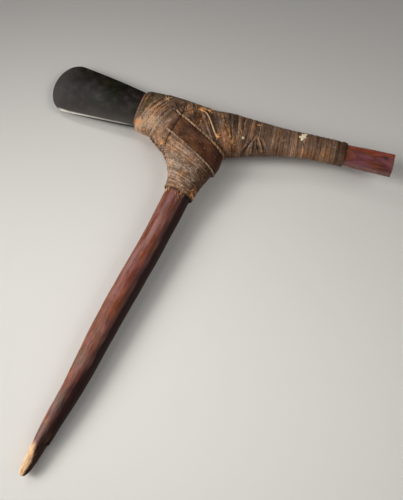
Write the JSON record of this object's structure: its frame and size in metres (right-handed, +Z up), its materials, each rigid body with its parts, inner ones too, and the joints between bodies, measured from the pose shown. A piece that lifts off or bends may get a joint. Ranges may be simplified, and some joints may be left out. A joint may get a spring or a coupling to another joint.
{
  "type": "stone axe",
  "caption": "Hafted stone axe with a polished blade in a cane-bound wooden socket, a long tapering grip and a counterweight arm, lying on its side.",
  "frame": {"origin": "centre of the bounding box's base, on the level surface that the axe lies on", "axes": "+Z up, nearly along the axe's thickness; -Y along the grip towards its butt; -X towards the blade's cutting edge; +X towards the end of the counterweight arm"},
  "size_m": [0.4586, 0.5544, 0.0483],
  "materials": {
    "polished_stone": "ground and polished, dull sheen",
    "dark_wood": "worn smooth and handled, dark red brown",
    "socket_wood": "split and shaved, matte",
    "old_cane": "dry split cane, matte",
    "bark": "dark dry bark"
  },
  "bodies": {
    "root": {"stone_blade": "polished_stone", "haft": "dark_wood", "socket_cheek_front": "socket_wood", "socket_cheek_back": "socket_wood", "junction_binding": "old_cane", "arm_binding": "old_cane", "bark_strap": "bark", "strap_cord_upper": "old_cane", "strap_cord_lower": "old_cane"}
  },
  "joints": []
}
